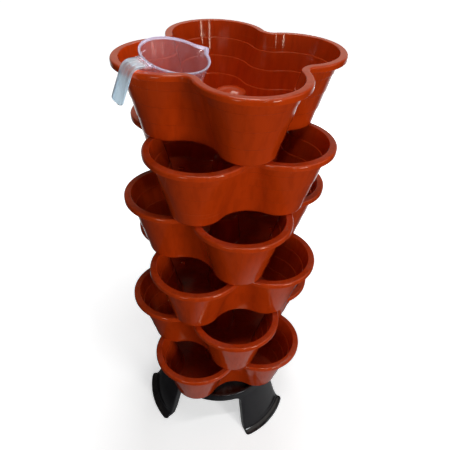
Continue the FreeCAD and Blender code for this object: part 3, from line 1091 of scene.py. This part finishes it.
def terracotta_plastic(groups):
    material, tree, shader, height = plastic(
        "terracotta_plastic",
        groups,
        tone=(0.54, 0.046, 0.003),
        deep_tone=(0.47, 0.039, 0.0025),
        scuffed_tone=(0.62, 0.16, 0.07),
        roughness=0.10,
        skin=(0.000008, 0.00025, 0.00005),
        wear=(0.22, 0.3, 0.10),
    )
    shader.inputs["IOR"].default_value = 1.49
    shader.inputs["Specular IOR Level"].default_value = 0.41
    shader.inputs["Specular Tint"].default_value = (1.0, 0.86, 0.68, 1)
    tree.links.new(bumped(tree, height), shader.inputs["Normal"])
    return material


def black_plastic(groups):
    material, tree, shader, height = plastic(
        "black_plastic",
        groups,
        tone=(0.015, 0.0135, 0.0155),
        deep_tone=(0.010, 0.009, 0.0105),
        scuffed_tone=(0.09, 0.09, 0.10),
        roughness=0.15,
        skin=(0.000008, 0.0004, 0.00003),
        wear=(0.3, 0.5, 0.08),
    )
    shader.inputs["IOR"].default_value = 1.49
    shader.inputs["Specular IOR Level"].default_value = 0.45
    shader.inputs["Specular Tint"].default_value = (0.9, 0.95, 1.0, 1)
    tree.links.new(bumped(tree, height), shader.inputs["Normal"])
    return material


def clear_violet_plastic(groups, name, roughness, clearness, tone):
    """The jug's plastic, which casts no shadow of its own, so that light reaches the pot under it."""
    material, tree, shader, height = plastic(
        name,
        groups,
        tone=tone,
        deep_tone=[0.94 * value for value in tone],
        scuffed_tone=(0.9, 0.88, 0.95),
        roughness=roughness,
        skin=(0.000004, 0.0003, 0.00004),
        wear=(0.5, 0.6, 0.1),
    )
    shader.inputs["IOR"].default_value = 1.45
    shader.inputs["Transmission Weight"].default_value = clearness
    tree.links.new(bumped(tree, height), shader.inputs["Normal"])
    frost_the_strap(tree, shader)
    shadow = add_node(tree, "ShaderNodeLightPath").outputs["Is Shadow Ray"]
    tree.links.new(maths(tree, "SUBTRACT", 1, shadow), shader.inputs["Alpha"])
    return material


def frost_the_strap(tree, shader):
    """The jug's handle, past the rim, is paler and scatters more light than its thin cup."""
    here = add_node(tree, "ShaderNodeTexCoord").outputs["Object"]
    outward = (jug_frame().to_3x3() @ Vector((-1, 0, 0))).normalized()
    start = JUG_PLACE.dot(outward) + JUG_RIM_RADIUS
    out = add_node(tree, "ShaderNodeVectorMath", {0: here, 1: outward}, operation="DOT_PRODUCT")
    on_strap = ranged(tree, out.outputs["Value"], start, start + STRAP_BEND)
    tone = shader.inputs["Base Color"].links[0].from_socket
    tree.links.new(mixed(tree, tone, STRAP_TONE, on_strap), shader.inputs["Base Color"])
    rough = shader.inputs["Roughness"].links[0].from_socket
    rougher = maths(tree, "ADD", rough, maths(tree, "MULTIPLY", on_strap, STRAP_HAZE))
    tree.links.new(rougher, shader.inputs["Roughness"])


# Stage, lights and camera


def camera():
    data = bpy.data.cameras.new("camera")
    data.lens = CAMERA_LENS
    data.sensor_width = CAMERA_SENSOR
    data.clip_start, data.clip_end = CAMERA_CLIP
    eye = bpy.data.objects.new("camera", data)
    bpy.context.scene.collection.objects.link(eye)
    heading = Matrix.Rotation(math.radians(-CAMERA_HEADING), 4, "Z")
    pitch = Matrix.Rotation(math.radians(90 - CAMERA_PITCH), 4, "X")
    roll = Matrix.Rotation(math.radians(CAMERA_ROLL), 4, "Z")
    eye.matrix_world = Matrix.Translation(CAMERA_PLACE) @ heading @ pitch @ roll
    bpy.context.scene.camera = eye


def seen_share(tree, in_gloss):
    """One for camera and transmission rays, and a given share for glossy rays."""
    path = add_node(tree, "ShaderNodeLightPath").outputs
    direct = maths(tree, "MAXIMUM", path["Is Camera Ray"], path["Is Transmission Ray"])
    return maths(tree, "MAXIMUM", direct, maths(tree, "MULTIPLY", path["Is Glossy Ray"], in_gloss))


def past_the_tower(tree, way):
    """One where a direction leads on past the tower from the camera, nought to the sides of that."""
    heading = on_circle(1, 90 - CAMERA_HEADING)
    straight = add_node(tree, "ShaderNodeVectorMath", {0: way}, operation="NORMALIZE").outputs["Vector"]
    past = add_node(tree, "ShaderNodeVectorMath", {0: straight, 1: heading}, operation="DOT_PRODUCT")
    return ranged(tree, past.outputs["Value"], *PAST_FADE)


def pale_floor():
    """A floor that shows pale with the tower's shadow near by, and plain white farther off."""
    bm = bmesh.new()
    bmesh.ops.create_grid(bm, x_segments=1, y_segments=1, size=FLOOR_HALF)
    material = bpy.data.materials.new("pale_floor")
    material.use_nodes = True
    tree = material.node_tree
    shader = tree.nodes["Principled BSDF"]
    here = add_node(tree, "ShaderNodeTexCoord").outputs["Object"]
    away = add_node(tree, "ShaderNodeVectorMath", {0: here}, operation="LENGTH").outputs["Value"]
    from_base = add_node(tree, "ShaderNodeVectorMath", {0: here, 1: BASE_SHEET}, operation="DISTANCE")
    near = ranged(tree, from_base.outputs["Value"], *NEAR_FADE, NEAR_SHARE, 0.0)
    grain = patched(tree, here, FLOOR_GRAIN, HAZE_SPAN, *FLOOR_MOTTLE)
    pale = mixed(tree, FLOOR_GLOSS_TONE, FLOOR_TONE, seen_share(tree, near))
    tree.links.new(mixed(tree, (0, 0, 0), pale, grain), shader.inputs["Base Color"])
    seen = seen_share(tree, maths(tree, "MAXIMUM", near, past_the_tower(tree, here)))
    glow = maths(tree, "MULTIPLY", ranged(tree, away, *FLOOR_FADE, FLOOR_GLOW), seen)
    tree.links.new(mixed(tree, (0, 0, 0), (1, 1, 1), glow), shader.inputs["Emission Color"])
    shader.inputs["Emission Strength"].default_value = 1.0
    shader.inputs["Roughness"].default_value = 0.9
    shader.inputs["Specular IOR Level"].default_value = 0.0
    floor = object_from(bm, "floor", material)


def studio_world():
    """A dim room for the light, shown white, and in gloss brightest at the horizon past the tower."""
    world = bpy.data.worlds.new("studio")
    world.use_nodes = True
    tree = world.node_tree
    way = add_node(tree, "ShaderNodeTexCoord").outputs["Generated"]
    up = add_node(tree, "ShaderNodeSeparateXYZ", {0: way}).outputs["Z"]
    shown = ranged(tree, up, *SKY_FADE, *SKY_GLOSS)
    aside = add_node(tree, "ShaderNodeVectorMath", {0: way, 1: WINDOW_WAY}, operation="DOT_PRODUCT")
    window = ranged(tree, aside.outputs["Value"], *WINDOW_FADE)
    in_gloss = maths(tree, "MAXIMUM", window, maths(tree, "MULTIPLY", past_the_tower(tree, way), shown))
    seen = seen_share(tree, in_gloss)
    unseen = maths(tree, "SUBTRACT", 1, seen)
    strength = maths(tree, "ADD", seen, maths(tree, "MULTIPLY", unseen, ROOM_LIGHT))
    tree.links.new(strength, tree.nodes["Background"].inputs["Strength"])
    glossy = add_node(tree, "ShaderNodeLightPath").outputs["Is Glossy Ray"]
    tone = mixed(tree, ROOM_TONE, GLOSS_TONE, glossy)
    tree.links.new(tone, tree.nodes["Background"].inputs["Color"])
    bpy.context.scene.world = world


def softbox(name, place, aim, size, power, colour=WHITE):
    data = bpy.data.lights.new(name, "AREA")
    data.shape = "RECTANGLE"
    data.size = size[0]
    data.size_y = size[1]
    data.energy = power
    data.color = colour
    lamp = bpy.data.objects.new(name, data)
    bpy.context.scene.collection.objects.link(lamp)
    lamp.rotation_mode = "QUATERNION"
    lamp.rotation_quaternion = (Vector(aim) - Vector(place)).to_track_quat("-Z", "Y")
    lamp.location = place


def lights():
    middle = (0, 0, (cad_low.z + cad_high.z) / 2)
    top = (0, 0, cad_high.z)
    for name, (place, size, power, colour) in LAMPS.items():
        softbox(name, place, middle, size, power, colour)
    for i, azimuth in enumerate(STRIP_AZIMUTHS):
        place = on_circle(STRIP_DISTANCE, azimuth, STRIP_HEIGHT)
        softbox("window_strip_" + str(i + 1), place, top, STRIP_SIZE, STRIP_POWER)
    softbox("ceiling_strip", CEILING_STRIP_PLACE, top, CEILING_STRIP_SIZE, CEILING_STRIP_POWER)


skins = {
    "skin": moulded_skin_group(),
    "edges": rubbed_edges_group(),
    "scratches": hairline_scratches_group(),
    "dust": settled_dust_group(),
}
pots(terracotta_plastic(skins))
measuring_jug(
    clear_violet_plastic(skins, "clear_violet_plastic", *CLEAR_LOOK),
    # A milkier, paler plastic that paints a highlight on the lip and beak edge
    clear_violet_plastic(skins, "lip_highlight_violet_plastic", *LIP_HIGHLIGHT_LOOK),
)
jug_scale(clear_violet_plastic(skins, "whitened_violet_plastic", *WHITENED_LOOK))
stand(black_plastic(skins))
pale_floor()
studio_world()
lights()
camera()
bpy.context.scene.view_settings.view_transform = "Standard"
